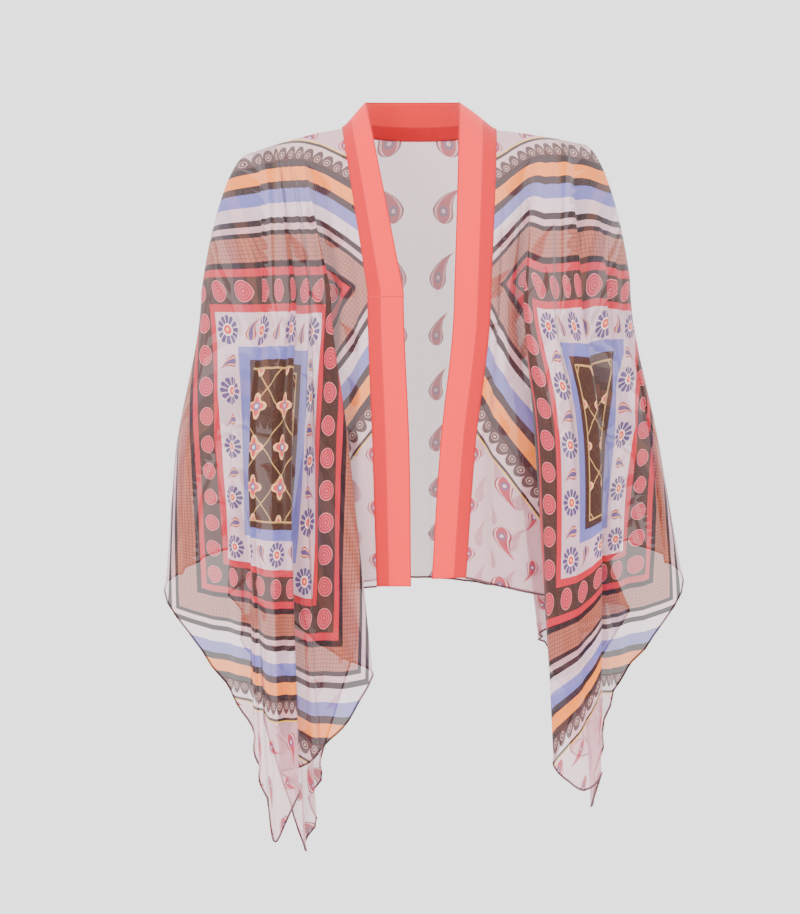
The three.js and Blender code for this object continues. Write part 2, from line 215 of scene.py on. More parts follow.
# %% The tops of the fold lines
SHOULDERS = {-1: (-94, 1, -213, -31), 1: (97, -1, 208, -19)}  # neck x, neck z, tip x, tip z
SHOULDER_SAG = 1.35
NECK_EDGE = (-7, 58, 60, 34, 42)  # middle x, half width, depth, z at the side, z at the back
NECK_SEAM = (1.5, 95.5, 92, 0, -4)
SEAM_OUT, EDGE_OUT, TIP_OUT = 75, 27, 200  # places on the flat cloth, out from the middle
TIP_SLIDE = 70  # mm of the back that have slid forward over the shoulder's tip


def neck_point(oval, side, turn):
    """Half oval: x = middle + side w cos a, y = depth sin a, z from side to back with sin a."""
    middle, width, depth, z_side, z_back = oval
    a = np.asarray(turn, float) * math.pi / 2
    return np.stack([middle + side * width * np.cos(a), depth * np.sin(a),
                     z_side + (z_back - z_side) * np.sin(a)], axis=-1)


def top_station(side, hangs_from, share):
    """A line's first station: place in space and on the flat cloth, five numbers in mm."""
    if hangs_from == "shoulder":
        nx, nz, tx, tz = SHOULDERS[side]
        place = (nx + (tx - nx) * share, 0, nz + (tz - nz) * share ** SHOULDER_SAG)
        return (*place, SEAM_OUT + (TIP_OUT - SEAM_OUT) * share, -TIP_SLIDE * share**2)
    oval, out = (NECK_SEAM, SEAM_OUT) if hangs_from == "neckSeam" else (NECK_EDGE, EDGE_OUT)
    a = share * math.pi / 2
    return (*neck_point(oval, side, share), out * math.cos(a), -out * math.sin(a))


round_lines = ([(-1, line) for line in RIGHT_BAND + RIGHT_FRONT + RIGHT_BACK + MIDDLE_BACK]
               + [(1, line) for line in (LEFT_BAND + LEFT_FRONT + LEFT_BACK)[::-1]])
stations = np.array([[top_station(side, line[1], line[2]), *line[4:]] for side, line in round_lines], float)
bends = np.array([line[3] for _, line in round_lines], float)
place_of = {(side, line[0]): i for i, (side, line) in enumerate(round_lines)}
print(len(round_lines), "fold lines, each with", stations.shape[1], "stations")

# %% [markdown]
# Between its stations a fold line is a smooth curve. Off the shoulder the cloth lies on what
# is beneath, so it follows a quarter of an oval: forwards (or backwards) first and then down. Below
# the chest it hangs, and a cubic curve leaves the oval straight down. The flat places follow the
# same cubic there. Above the chest they go nearly evenly with the height, because the stripes of
# the real cape look evenly spaced from the front.

# %% Smooth fold lines
ROWS = (26, 34, 64)  # rows from shoulder to chest, chest to waist, waist to edge
SHOULDER_ROUND, ROUND_START = 0.62, 0.35
BY_HEIGHT = 0.92  # share of the flat place that goes with the height, the rest goes with the length


def cubic(a, b, leave, arrive, s):
    """Hermite curve: from a to b with the given first and last directions."""
    return ((2 * s**3 - 3 * s**2 + 1) * a + (s**3 - 2 * s**2 + s) * leave
            + (3 * s**2 - 2 * s**3) * b + (s**3 - s**2) * arrive)


def fold_curves(stations, rounding):
    """Rows down every line. On the shoulder, with angle t from 0 to a right angle: y goes with
    sin t, z with 1 - cos t, and x with a mix of both. Below it: two cubic runs."""
    top, chest, waist, edge = (stations[:, None, k, :] for k in range(4))
    t = np.arange(ROWS[0]) / ROWS[0] * math.pi / 2
    out, down = np.sin(t), 1 - np.cos(t)
    side_share = down + (out - down) * rounding[:, None]
    path = np.stack([side_share, np.broadcast_to(out, side_share.shape),
                     np.broadcast_to(down, side_share.shape)], axis=-1)
    near = top[..., :3] + (chest - top)[..., :3] * path
    steps = np.linalg.norm(np.diff(np.concatenate([near, chest[..., :3]], axis=1), axis=1), axis=-1)
    gone = np.cumsum(steps, axis=1)
    share = np.concatenate([np.zeros((len(gone), 1)), gone[:, :-1]], axis=1) / gone[:, -1:]
    share = (1 - BY_HEIGHT) * share + BY_HEIGHT * down
    upper = np.concatenate([near, top[..., 3:] + (chest - top)[..., 3:] * share[..., None]], axis=-1)
    first = waist - chest
    first[..., :2] = 0
    middle = (edge - chest) / 2
    s1 = (np.arange(ROWS[1]) / ROWS[1])[None, :, None]
    s2 = (np.arange(ROWS[2] + 1) / ROWS[2])[None, :, None]
    return np.concatenate([upper, cubic(chest, waist, first, middle, s1),
                           cubic(waist, edge, middle, edge - waist, s2)], axis=1)


on_shoulder = np.array([line[2] if line[1] == "shoulder" else 0 for _, line in round_lines], float)
ease = np.clip((on_shoulder - ROUND_START) / (1 - ROUND_START), 0, 1)
curves = fold_curves(stations, SHOULDER_ROUND * ease**2 * (3 - 2 * ease))
# Each point also carries its fold line's number, which tells later how far it is between two lines.
number = np.broadcast_to(np.arange(len(curves))[:, None, None], (*curves.shape[:2], 1))
curves = np.concatenate([curves, number], axis=-1)
print("points on the fold lines:", curves.shape)

# %% [markdown]
# A row of the cloth goes straight from one fold line to the next and turns at each. The turn is a
# quadratic curve whose size is the line's bend: a few millimetres for a pressed crease, and tens
# where the cloth only swells. Whole arrays are used, so all rows turn at once.

# %% Rows across the folds
TURN = np.linspace(0, 1, 5)  # points in each turn, its middle is the third
SPAN = np.arange(1, 7) / 7  # points on the straight between two turns


def across(curves, bends):
    """Points (1-t)^2 enter + 2t(1-t) fold + t^2 leave at each line, and straight runs between."""
    here, before, after = curves[1:-1], curves[:-2], curves[2:]
    size = bends[1:-1, None]
    apart = np.linalg.norm(np.diff(curves[..., :3], axis=0), axis=-1).clip(0.01)
    back = np.minimum(0.48, size / apart[:-1])[..., None]
    ahead = np.minimum(0.48, size / apart[1:])[..., None]
    enter, leave = here + (before - here) * back, here + (after - here) * ahead
    t = TURN[:, None, None, None]
    turns = (1 - t) ** 2 * enter + 2 * t * (1 - t) * here + t**2 * leave
    starts = np.concatenate([curves[:1], leave])
    ends = np.concatenate([enter, curves[-1:]])
    s = SPAN[:, None, None, None]
    spans = starts + (ends - starts) * s
    columns = [curves[:1], spans[:, 0]]
    for i in range(len(here)):
        columns += [turns[:, i], spans[:, i + 1]]
    columns.append(curves[-1:])
    return np.concatenate(columns).swapaxes(0, 1)


def turn_column(side, name):
    """The column in the middle of a line's turn."""
    return 1 + len(SPAN) + (len(TURN) + len(SPAN)) * (place_of[side, name] - 1) + len(TURN) // 2


cloth = across(curves, bends)
print("cloth grid:", cloth.shape)

# %% [markdown]
# Chiffon is never smooth between its folds: it keeps soft creases from its own weight. Each is
# placed on the flat cloth, in millimetres, with its own length, width and depth. Sleeves
# hang on the bias, so their creases run slantwise on the flat cloth, while those of the panels
# next to the band run straight down. A crease is a soft trough or ridge that fades at its ends.

# %% Creases
# Place on the flat cloth (out, down), run (out, down), half width, height; minus is a trough
RIGHT_CREASES = [
    (215, 120, 260, 260, 9, -2.6), (250, 95, 330, 330, 13, 2.4), (300, 60, 300, 330, 8, -2.2),
    (330, 250, 200, 240, 11, 2.2), (380, 300, 230, 260, 8, -2.6), (420, 60, 250, 300, 14, -2.8),
    (470, 40, 240, 300, 9, 2.2), (520, 130, 200, 280, 12, 2.4), (560, 60, 190, 230, 10, -2.4),
    (480, 330, 180, 230, 9, 2.6), (300, 420, 140, 190, 10, -2.2), (250, 330, 130, 260, 14, 2.2),
    (170, 60, 120, 160, 12, 2.6), (120, 70, 60, 210, 13, -1.8), (610, 330, 120, 240, 10, -2.4),
    (640, 220, 120, 230, 12, 2.2), (105, 380, 6, 220, 12, 1.6), (130, 300, 30, 260, 9, -1.6),
]
LEFT_CREASES = [
    (200, 130, 230, 260, 10, 2.6), (240, 100, 320, 340, 9, -2.6), (280, 90, 330, 360, 13, 2.4),
    (350, 300, 210, 270, 9, -2.6), (410, 380, 150, 210, 12, 2.4), (420, 80, 260, 300, 12, -2.6),
    (470, 60, 240, 270, 10, 2.4), (540, 180, 200, 280, 11, -2.4), (560, 70, 200, 240, 9, 2.2),
    (560, 380, 120, 220, 10, 2.2), (160, 70, 130, 170, 12, -2.4), (120, 60, 70, 230, 14, 2.0),
    (640, 260, 110, 260, 12, -2.2), (120, 370, 20, 230, 11, -1.8), (160, 320, 70, 280, 10, 1.8),
    (230, 400, 90, 200, 12, 2.2),
]
BACK_CREASES = [
    (230, -60, 230, -260, 12, 2.6), (280, -60, 270, -300, 10, -2.6), (330, -90, 280, -320, 13, 2.6),
    (180, -120, 120, -330, 12, -2.4), (110, -150, 60, -400, 14, 2.2), (50, -120, 10, -420, 12, -2.2),
    (420, -80, 260, -260, 10, 2.4), (470, -130, 250, -330, 12, -2.4), (380, -300, 200, -290, 9, 2.4),
    (250, -330, 140, -260, 12, 2.2), (560, -240, 180, -300, 11, -2.4), (150, -300, 60, -280, 9, 1.8),
]


def crease_height(out, down, creases):
    """Sum of h exp(-(d/w)^2) sin^0.7(pi s): d is the distance to a crease, s the share along it."""
    total = np.zeros_like(out)
    for p, q, run_p, run_q, width, height in creases:
        length = math.hypot(run_p, run_q)
        along = ((out - p) * run_p + (down - q) * run_q) / length**2
        wander = 6 * np.sin(along * 7 + p)
        apart = ((out - p) * run_q - (down - q) * run_p) / length + wander
        fade = np.sin(math.pi * along.clip(0, 1)) ** 0.7
        total += height * np.exp(-(apart / width) ** 2) * fade
    return total


def normals_of(grid):
    """Cross product of the direction across and the direction down, made one long."""
    n = np.cross(np.gradient(grid[..., :3], axis=1), np.gradient(grid[..., :3], axis=0))
    return n / np.linalg.norm(n, axis=-1, keepdims=True).clip(1e-9)


print("creases right, left and behind:", len(RIGHT_CREASES), len(LEFT_CREASES), len(BACK_CREASES))

# %% [markdown]
# Between two fold lines there is often more cloth than space, since the oblong is much wider than
# the cape hangs. The spare cloth buckles into a wave. Its height follows from the two lengths: a
# sine wave with slope k makes its path longer by the root of 1 + k^2 / 2, so the slope is known
# once the flat length and the length in space are.

# %% Waves from spare cloth
FRONT_LIMIT, BACK_LIMIT = 4.5, 15.0  # mm, the highest waves
WAVE_LENGTH = 60  # mm, about how long a wave is
MOST_GATHER = 2.6  # the cloth is at most this many times as wide as the space
BACK_NAMES = ("back", "cuff", "neck", "yoke", "middle")  # how the names of the back's lines begin


def spare_waves(curves, cloth):
    """Height of a sine wave between each two fold lines, so that the cloth keeps its flat width.
    With n waves over the width w, and slope k, the wave is k w / (2 pi n) high."""
    space = np.linalg.norm(np.diff(curves[..., :3], axis=0), axis=-1).clip(1)
    flat = np.linalg.norm(np.diff(curves[..., 3:5], axis=0), axis=-1)
    waves = np.maximum(0.5, np.round(space.max(axis=1) / WAVE_LENGTH * 2) / 2)
    slope = np.sqrt(2 * ((flat / space).clip(1, MOST_GATHER) ** 2 - 1))
    high = slope * space / (2 * math.pi * waves[:, None])
    on_back = np.array([line[0].startswith(BACK_NAMES) for _, line in round_lines])
    limit = np.where(on_back[:-1] | on_back[1:], BACK_LIMIT, FRONT_LIMIT)
    high = np.minimum(high, limit[:, None])
    span = np.floor(cloth[..., 5]).astype(int).clip(0, len(space) - 1)
    share = cloth[..., 5] - span
    row = np.arange(cloth.shape[0])[:, None]
    return high[span, row] * np.sin(2 * math.pi * waves[span] * share)


waves = spare_waves(curves, cloth)
print("waves of spare cloth between", waves.min().round(1), "and", waves.max().round(1), "mm")

# %% [markdown]
# Creases and waves add up to one height, and each point moves along the cloth's normal by it.
# Nothing moves near the shoulder line, the sides and the band's seams, where pieces meet.

# %% Dress the cloth
STEADY_COLUMNS = 8  # columns beside a seam over which the height grows from nothing

right_side, left_side = turn_column(-1, "side"), turn_column(1, "side")
height = waves.copy()
for first, last, creases in ((0, right_side, RIGHT_CREASES), (right_side, left_side, BACK_CREASES),
                             (left_side, cloth.shape[1], LEFT_CREASES)):
    part = cloth[:, first:last]
    height[:, first:last] += crease_height(part[..., 3], part[..., 4], creases)
columns = np.arange(cloth.shape[1])
seams = [turn_column(-1, "seam"), right_side, left_side, turn_column(1, "seam")]
free = np.min([np.abs(columns - c) for c in seams], axis=0).clip(0, STEADY_COLUMNS) / STEADY_COLUMNS
rows = np.arange(cloth.shape[0])
below = (rows / ROWS[0]).clip(0, 1) ** 1.5
height *= free[None, :] * below[:, None]
dressed = cloth.copy()
dressed[..., :3] += normals_of(cloth) * height[..., None]
print("height between", height.min().round(2), "and", height.max().round(2), "mm")

# %% [markdown]
# A grid of points becomes a mesh in one step: each square joins four neighbours, and a UV map
# gives every corner its place on the flat cloth, in metres.

# %% From grid to mesh
def mesh_from_grid(name, points, uv, wrap=False):
    """Squares (r,c), (r,c+1), (r+1,c+1), (r+1,c) over the grid, so that faces point outwards."""
    rows, cols = points.shape[:2]
    at = np.arange(rows * cols).reshape(rows, cols)
    if wrap:
        at = np.concatenate([at, at[:, :1]], axis=1)
    quads = np.stack([at[:-1, :-1], at[:-1, 1:], at[1:, 1:], at[1:, :-1]], axis=-1).reshape(-1, 4)
    mesh = bpy.data.meshes.new(name)
    mesh.from_pydata((points.reshape(-1, 3) * MM).tolist(), [], quads.tolist())
    layer = mesh.uv_layers.new(name="FlatCloth")
    layer.data.foreach_set("uv", (uv.reshape(-1, 2)[quads.ravel()]).astype(np.float32).ravel())
    mesh.polygons.foreach_set("use_smooth", np.ones(len(quads), bool))
    mesh.update()
    piece = bpy.data.objects.new(name, mesh)
    bpy.context.scene.collection.objects.link(piece)
    return piece


first, last = turn_column(-1, "seam"), turn_column(1, "seam")
inner = dressed[:, first:last + 1]
printed_cloth = mesh_from_grid("printed_cloth", inner[..., :3], inner[..., 3:5] * MM)
print("printed cloth:", len(printed_cloth.data.polygons), "squares")

# %% [markdown]
# The hem and the cuffs are rolled: the cloth's edge is turned in on itself and sewn, which leaves
# a thin cord along it. It is a small tube that follows the lowest row of the cloth. It takes the
# print's colour, only denser and darker, because there are several layers.

# %% Rolled hem
HEM_RADIUS = 1.3


def tube_along(path, radius, sides=7):
    """Circle of points p + r (cos a n + sin a b) round each point, n and b square to the path."""
    tangent = np.gradient(path[:, :3], axis=0)
    tangent /= np.linalg.norm(tangent, axis=1, keepdims=True).clip(1e-9)
    across_it = np.cross(tangent, (0.0, 0.0, 1.0))
    across_it /= np.linalg.norm(across_it, axis=1, keepdims=True).clip(1e-3)
    up = np.cross(across_it, tangent)
    a = np.arange(sides) / sides * 2 * math.pi
    ring = np.cos(a)[:, None, None] * across_it + np.sin(a)[:, None, None] * up
    return path[None, :, :3] + radius * ring


hem_path = inner[-1]
hem_ring = tube_along(hem_path, HEM_RADIUS)
hem_uv = np.broadcast_to(hem_path[None, :, 3:5] * MM, (*hem_ring.shape[:2], 2))
rolled_hem = mesh_from_grid("rolled_hem", hem_ring.swapaxes(0, 1)[:, ::-1],
                            hem_uv.swapaxes(0, 1), wrap=True)
print("rolled hem:", len(rolled_hem.data.polygons), "squares")

# %% [markdown]
# The coral band is one strip of plain chiffon, folded double. It runs up one front, round the
# neck and down the other. Its seam allowance lies inside the outer third, where it shows as a
# darker stripe, so the map across the strip goes from 0 at the free edge to 1 at the seam.

# %% Coral band
BAND_COLUMNS = 15
BAND_TURNS = 40


def resampled(points, count):
    """The same rows with evenly spaced columns, by length along each row's own line."""
    out = np.empty((len(points), count, 3))
    for r, row in enumerate(points):
        gone = np.concatenate([[0], np.cumsum(np.linalg.norm(np.diff(row, axis=0), axis=1))])
        at = np.linspace(0, gone[-1], count)
        out[r] = np.stack([np.interp(at, gone, row[:, k]) for k in range(3)], axis=1)
    return out


right_strip = resampled(cloth[:, :first + 1, :3], BAND_COLUMNS)[::-1]
left_strip = resampled(cloth[:, last:, :3], BAND_COLUMNS)[:, ::-1]
turn = np.concatenate([np.arange(1, BAND_TURNS + 1), np.arange(BAND_TURNS - 1, 0, -1)]) / BAND_TURNS
side = np.where(np.arange(len(turn)) < BAND_TURNS, -1, 1)
free_edge, seam_edge = neck_point(NECK_EDGE, side, turn), neck_point(NECK_SEAM, side, turn)
share = np.linspace(0, 1, BAND_COLUMNS)[None, :, None]
neck_strip = free_edge[:, None] * (1 - share) + seam_edge[:, None] * share
strip = np.concatenate([right_strip, neck_strip, left_strip])
band_normals = normals_of(strip)
band_middle = strip[:, BAND_COLUMNS // 2]
length = np.concatenate([[0], np.cumsum(np.linalg.norm(np.diff(band_middle, axis=0), axis=1))])
# A folded strip swells a little between its two edges, and unevenly, as its layers shift.
SWELL, SHIFT = 0.6, 0.35  # mm
swell = SWELL * np.sin(math.pi * share[..., 0]) + SHIFT * np.sin(length[:, None] / 23 + 5 * share[..., 0])
swell = swell * np.sin(math.pi * share[..., 0]) ** 0.5
strip_points = strip - band_normals * swell[..., None]
band_uv = np.stack(np.broadcast_arrays(share[..., 0], length[:, None] * MM), axis=-1)
coral_band = mesh_from_grid("coral_band", strip_points[:, ::-1], band_uv[:, ::-1])
thickness = coral_band.modifiers.new("two layers", "SOLIDIFY")
thickness.thickness, thickness.offset = 1.2 * MM, 0
print("band length", round(length[-1] / 1000, 3), "m")

# %% [markdown]
# Shader nodes do sums for each point of a surface, but wiring them one by one hides the idea. So
# one small class wraps a socket: writing a + b then adds a Math node, and
# the reflected forms let a plain number stand first. Any other node comes from one method.

# %% Sums written as Python
class Value:
    """A socket that can be used in sums. tree is the node tree it lives in."""

    def __init__(self, tree, socket):
        self.tree, self.socket = tree, socket

    def node(self, kind, settings=(), **inputs):
        """A new node: first its settings, then its inputs by name, values or links."""
        made = self.tree.nodes.new(kind)
        for name, setting in dict(settings).items():
            setattr(made, name, setting)
        for name, value in inputs.items():
            socket = made.inputs[int(name[1:])] if name[0] == "_" else made.inputs[name.replace("_", " ")]
            if isinstance(value, Value):
                self.tree.links.new(value.socket, socket)
            else:
                socket.default_value = value
        return made

    def math(self, operation, *others):
        made = self.node("ShaderNodeMath", {"operation": operation}, _0=self,
                         **{f"_{i + 1}": v for i, v in enumerate(others)})
        return Value(self.tree, made.outputs[0])

    def __add__(self, b): return self.math("ADD", b)
    def __radd__(self, b): return self.math("ADD", b)
    def __sub__(self, b): return self.math("SUBTRACT", b)
    def __rsub__(self, b): return (self * -1.0) + b
    def __mul__(self, b): return self.math("MULTIPLY", b)
    def __rmul__(self, b): return self.math("MULTIPLY", b)
    def __truediv__(self, b): return self.math("DIVIDE", b)
    def __abs__(self): return self.math("ABSOLUTE")
    def __gt__(self, b): return self.math("GREATER_THAN", b)
    def __lt__(self, b): return self.math("LESS_THAN", b)
    def low(self, b): return self.math("MINIMUM", b)
    def high(self, b): return self.math("MAXIMUM", b)
    def fraction(self): return self.math("FRACT")
    def sine(self): return self.math("SINE")
    def root(self): return self.math("SQRT")

    def between(self, a, b):
        """1 where the value lies between a and b, otherwise 0."""
        return (self > a) * (self < b)

    def repeated(self, pitch):
        """Distance from the middle of the nearest of many equal steps, from -pitch/2 to pitch/2."""
        return ((self / pitch + 0.5).fraction() - 0.5) * pitch


def srgb(r, g, b):
    """A screen colour, 0 to 255, as the renderer's linear light."""
    c = np.array([r, g, b]) / 255
    return (*np.where(c <= 0.04045, c / 12.92, ((c + 0.055) / 1.055) ** 2.4).tolist(), 1.0)


def mixed(mask, below, above):
    """The colour above where mask is 1, below where it is 0, and a blend in between."""
    start = mask if isinstance(mask, Value) else below
    made = start.node("ShaderNodeMix", {"data_type": "RGBA"}, _0=mask, _6=below, _7=above)
    return Value(start.tree, made.outputs[2])


def chosen(mask, yes, no):
    """yes where mask is 1, no where it is 0."""
    return mask * yes + (1.0 - mask) * no


def ramp(value, stops, size):
    """A colour ramp in steps: each stop is (place, colour), places from 0 to size."""
    made = value.node("ShaderNodeValToRGB", _0=value / size)
    band = made.color_ramp
    band.interpolation = "CONSTANT"
    while len(band.elements) < len(stops):
        band.elements.new(0.5)
    for element, (place, colour) in zip(band.elements, stops):
        element.position = place / size
        element.color = colour
    return Value(value.tree, made.outputs["Color"])


# %% [markdown]
# The print is a scarf design: square frames, one in another, turned so that they stand upright on
# a sleeve that hangs on the bias. Around a frame's centre the distance to a square is the larger
# of the two side distances, so one colour ramp over that distance draws every stripe. The
# motifs in the stripes repeat along the side of the square, which is the other distance.

# %% Stripes of the print
FRAME_CENTRE = (413, 240)  # mm out and down on the flat cloth
# name, where it starts in mm from the centre, its ink, how dense it is
STRIPES = [
    ("middle", 0, (66, 40, 32), 0.88),
    ("inner blue", 108.8, (108, 104, 172), 0.81),
    ("flowers", 125.0, (224, 184, 196), 0.62),
    ("inner coral", 163.8, (184, 32, 50), 0.85),
    ("ovals", 173.8, (66, 42, 38), 0.86),
    ("coral", 207.5, (184, 32, 50), 0.85),
    ("edge of coral", 217.5, (42, 24, 28), 0.88),
    ("tan", 225.0, (166, 90, 72), 0.79),
    ("edge of tan", 255.0, (42, 24, 28), 0.88),
    ("pale line", 260.0, (212, 158, 164), 0.61),
    ("dark line", 267.5, (42, 24, 28), 0.88),
    ("white", 273.8, (226, 192, 204), 0.61),
    ("blue", 292.5, (108, 104, 172), 0.81),
    ("edge of blue", 308.8, (50, 32, 34), 0.87),
    ("orange", 317.5, (242, 128, 40), 0.83),
    ("edge of orange", 333.8, (50, 34, 36), 0.88),
    ("scallops", 343.8, (218, 172, 178), 0.60),
    ("edge of scallops", 366.0, (50, 34, 36), 0.88),
    ("yellow line", 370.0, (232, 176, 60), 0.80),
    ("ground", 373.0, (212, 158, 168), 0.58),
]
REACH = 480.0  # mm, farther from the centre than any place on the cloth
ENDS = [start for _, start, _, _ in STRIPES[1:]] + [REACH]
STRIPE = {name: (start, end) for (name, start, _, _), end in zip(STRIPES, ENDS)}


def halfway(stripe):
    """The middle of a stripe, in mm from the frame's centre."""
    return sum(STRIPE[stripe]) / 2


print(len(STRIPES), "stripes, the ovals run along", halfway("ovals"), "mm")

# %% [markdown]
# The print is drawn in layers, as a printer lays one screen over another. One object keeps the
# coordinates, and the colour and density so far. Painting lays an ink where a mask is 1.

# %% The print while it is drawn
def flat_place(tree):
    """Both coordinates of the map FlatCloth."""
    flat = tree.nodes.new("ShaderNodeUVMap")
    flat.uv_map = "FlatCloth"
    start = Value(tree, flat.outputs[0])
    apart = start.node("ShaderNodeSeparateXYZ", _0=start)
    return Value(tree, apart.outputs[0]), Value(tree, apart.outputs[1])


class Print:
    """u and v are side distances from the frame's centre, across and down on the hanging sleeve.
    d is the larger of both, which counts the stripes, and s is the other, along them. All mm."""

    def __init__(self, tree):
        self.out, self.down = (place * 1000.0 for place in flat_place(tree))
        p, q = self.out - float(FRAME_CENTRE[0]), self.down - float(FRAME_CENTRE[1])
        self.u, self.v = (q - p) * math.sqrt(0.5), (q + p) * math.sqrt(0.5)
        self.d = abs(self.u).high(abs(self.v))
        self.s = chosen(abs(self.u) > abs(self.v), self.v, self.u)
        self.colour = ramp(self.d, [(start, srgb(*ink)) for _, start, ink, _ in STRIPES], REACH)
        greys = ramp(self.d, [(start, (dense, dense, dense, 1.0)) for _, start, _, dense in STRIPES], REACH)
        self.density = Value(tree, greys.node("ShaderNodeRGBToBW", _0=greys).outputs[0])

    def within(self, stripe):
        return self.d.between(*STRIPE[stripe])

    def paint(self, mask, ink, cover=1.0):
        """Lay an ink over what is there, where the mask is 1. A cover under 1 lets it show."""
        self.colour = mixed(mask if cover == 1.0 else mask * cover, self.colour, srgb(*ink))

    def thicken(self, mask, more):
        self.density = self.density + mask * more


# %% [markdown]
# Each motif is a few sums that give 1 inside it and 0 outside. A flower is a circle whose radius
# goes up and down with the angle. A row of ovals is an oval in coordinates that start afresh at
# every step. A paisley is a bent drop: round at its head, with a tail that narrows and leans.

# %% Motifs
def distance(x, y):
    return (x * x + y * y).root()


def flower(x, y, radius, petals, deep=0.22):
    """1 where the distance is under radius (1 - deep + deep cos(petals * angle))."""
    angle = y.math("ARCTAN2", x)
    edge = (angle * float(petals)).math("COSINE") * (deep * radius) + (1 - deep) * radius
    return distance(x, y) < edge


def oval(x, y, a, b):
    """Size of the oval through a point: 1 on the oval with half widths a and b."""
    return distance(x / a, y / b)


def paisley(x, y, size):
    """Share of the half width of a bent drop: round below 0, and above it a tail that narrows to
    a tip at 2.4 sizes and bends aside with the square of its height."""
    tail = (y / (2.4 * size)).high(0.0).low(1.0)
    head = (y / size).low(0.0)
    width = (1.0 - tail) * (1.0 - head * head).high(0.0).root() * size
    return abs(x - tail * tail * (1.5 * size)) / width.high(0.05)


# %% [markdown]
# Two stripes carry round motifs. The dark one has ovals with a thin pale rim, coral inside, and two
# fine rings round a dot. The white one has flowers of twelve wedge petals round a coral eye, and
# between two flowers a small paisley whose tail points out of the frame.

# %% Ovals and flowers
OVAL_PITCH, FLOWER_PITCH = 38.1, 72.2  # mm


def draw_ovals(design):
    size = oval(design.s.repeated(OVAL_PITCH), design.d - halfway("ovals"), 12.0, 13.5)
    inside = design.within("ovals")
    design.paint(inside * (size < 1.0), (206, 118, 122))
    design.paint(inside * (size < 0.92), (174, 40, 62))
    rings = size.between(0.62, 0.68).high(size.between(0.36, 0.42)).high(size < 0.12)
    design.paint(inside * rings, (226, 140, 134), cover=0.45)


def draw_flowers(design):
    x, y = design.s.repeated(FLOWER_PITCH), design.d - halfway("flowers")
    inside, far = design.within("flowers"), distance(x, y)
    sector = (y.math("ARCTAN2", x) * (12 / (2 * math.pi))).fraction()
    gaps = (abs(sector - 0.5) < 0.12) * (far > 8.0)
    bloom = inside * flower(x, y, 17.5, 12, 0.05) * (1.0 - gaps)
    design.paint(bloom, (82, 66, 106))
    design.paint(inside * far.between(5.5, 7.5), (236, 206, 200))
    design.paint(inside * (far < 5.5), (206, 60, 70))
    design.paint(inside * (far < 2.0), (232, 176, 96))
    ring = paisley((design.s + FLOWER_PITCH / 2).repeated(FLOWER_PITCH), y + 4.0, 7.5)
    drop = inside * (ring < 1.0)
    design.paint(drop, (150, 50, 76))
    design.paint(inside * (ring < 0.72), (226, 156, 110))
    design.paint(inside * (ring < 0.45), (96, 70, 116))
    design.thicken(bloom, 0.28)
    design.thicken(drop, 0.26)


# %% [markdown]
# The tan stripe is hatched with fine crossed lines. The outermost stripe has scallops: dark rounds
# side by side on a pale stripe, each with a ring and a dot.

# %% Crossed lines and scallops
HATCH_PITCH, SCALLOP_PITCH = 5.0, 17.2  # mm


def draw_hatching(design):
    lines = (abs(design.u.repeated(HATCH_PITCH)) < 0.7).high(abs(design.v.repeated(HATCH_PITCH)) < 0.7)
    design.paint(design.within("tan") * lines, (118, 58, 48), cover=0.75)


def draw_scallops(design):
    x = design.s.repeated(SCALLOP_PITCH)
    inside, far = design.within("scallops"), distance(x, design.d - 351.0)
    rounds = inside * (oval(x, design.d - 347.5, 8.9, 15.0) < 1.0)
    design.paint(rounds, (84, 58, 58))
    design.paint(inside * far.between(3.6, 4.9), (176, 136, 130))
    design.paint(inside * (far < 1.6), (196, 156, 148))
    design.thicken(rounds, 0.3)


# %% [markdown]
# The dark middle has a trellis of thin ochre lines with a coral blossom of four petals in each
# mesh, and an ochre line round it.

# %% Dark middle
TRELLIS_PITCH = 76.0  # mm between the slanting lines
BLOSSOM_PITCH = 53.74  # mm, the same step measured along the frame's sides


def draw_middle(design):
    x = (design.u + design.v).repeated(TRELLIS_PITCH)
    y = (design.u - design.v).repeated(TRELLIS_PITCH)
    near_u, near_v = design.u.repeated(BLOSSOM_PITCH), design.v.repeated(BLOSSOM_PITCH)
    inside, far = design.d < 101.0, distance(near_u, near_v)
    half = TRELLIS_PITCH / 2
    trellis = (abs(abs(x) - half) < 1.3).high(abs(abs(y) - half) < 1.3)
    design.paint(inside * trellis, (176, 136, 84))
    design.paint(inside * flower(near_u, near_v, 17.0, 4), (226, 168, 120))
    design.paint(inside * flower(near_u, near_v, 12.5, 4), (204, 76, 76))
    design.paint(inside * (far < 5.2), (96, 104, 150))
    design.paint(inside * (far < 2.6), (236, 222, 206))
    design.paint(design.d.between(99.0, 101.5), (176, 136, 84))


# %% [markdown]
# Outside the frames the ground is pale, with small speckles, and paisleys of two sizes that lean
# towards each other.

# %% Pale ground
SPECK_PITCH = 5.2  # mm
PAISLEY_STEP = (90.0, 70.0)  # mm out and down
# first place out, shift down, which way it leans, size of the head, in mm
PAISLEYS = [
    (30.0, 0.0, 1.0, 13.0),
    (75.0, 35.0, -1.0, 9.5),
]


